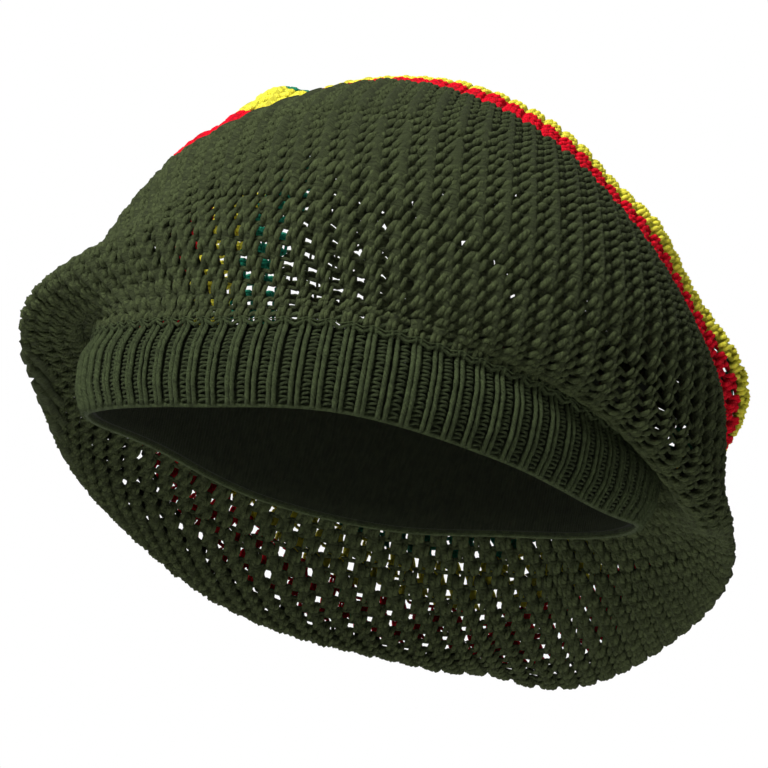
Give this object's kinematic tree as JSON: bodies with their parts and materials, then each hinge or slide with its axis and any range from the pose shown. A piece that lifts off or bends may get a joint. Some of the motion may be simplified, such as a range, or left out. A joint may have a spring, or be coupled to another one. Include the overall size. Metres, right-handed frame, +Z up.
{
  "type": "rasta tam",
  "caption": "Knitted slouch tam: a ribbed folded cuff, a loose open-mesh sack that hangs at the back, three coloured stripes and a drawn-in crown.",
  "frame": {"origin": "middle of the head opening, at the lower edge of the cuff, where it sits on the head", "axes": "+Z up the head, -Y to the front, +X to the wearer's left"},
  "size_m": [0.2325, 0.256, 0.2045],
  "materials": {
    "cuff_knit": "ribbed olive wool knit",
    "band_knit": "fine dark olive rib",
    "olive_mesh": "open olive wool mesh",
    "red_mesh": "open red wool mesh",
    "yellow_mesh": "open yellow wool mesh",
    "green_mesh": "open green wool mesh"
  },
  "bodies": {
    "root": {"cuff": "cuff_knit", "inner_band": "band_knit", "crown_body": "olive_mesh", "stripe_red": "red_mesh", "stripe_yellow": "yellow_mesh", "stripe_green": "green_mesh", "crown_top": "olive_mesh"}
  },
  "joints": []
}
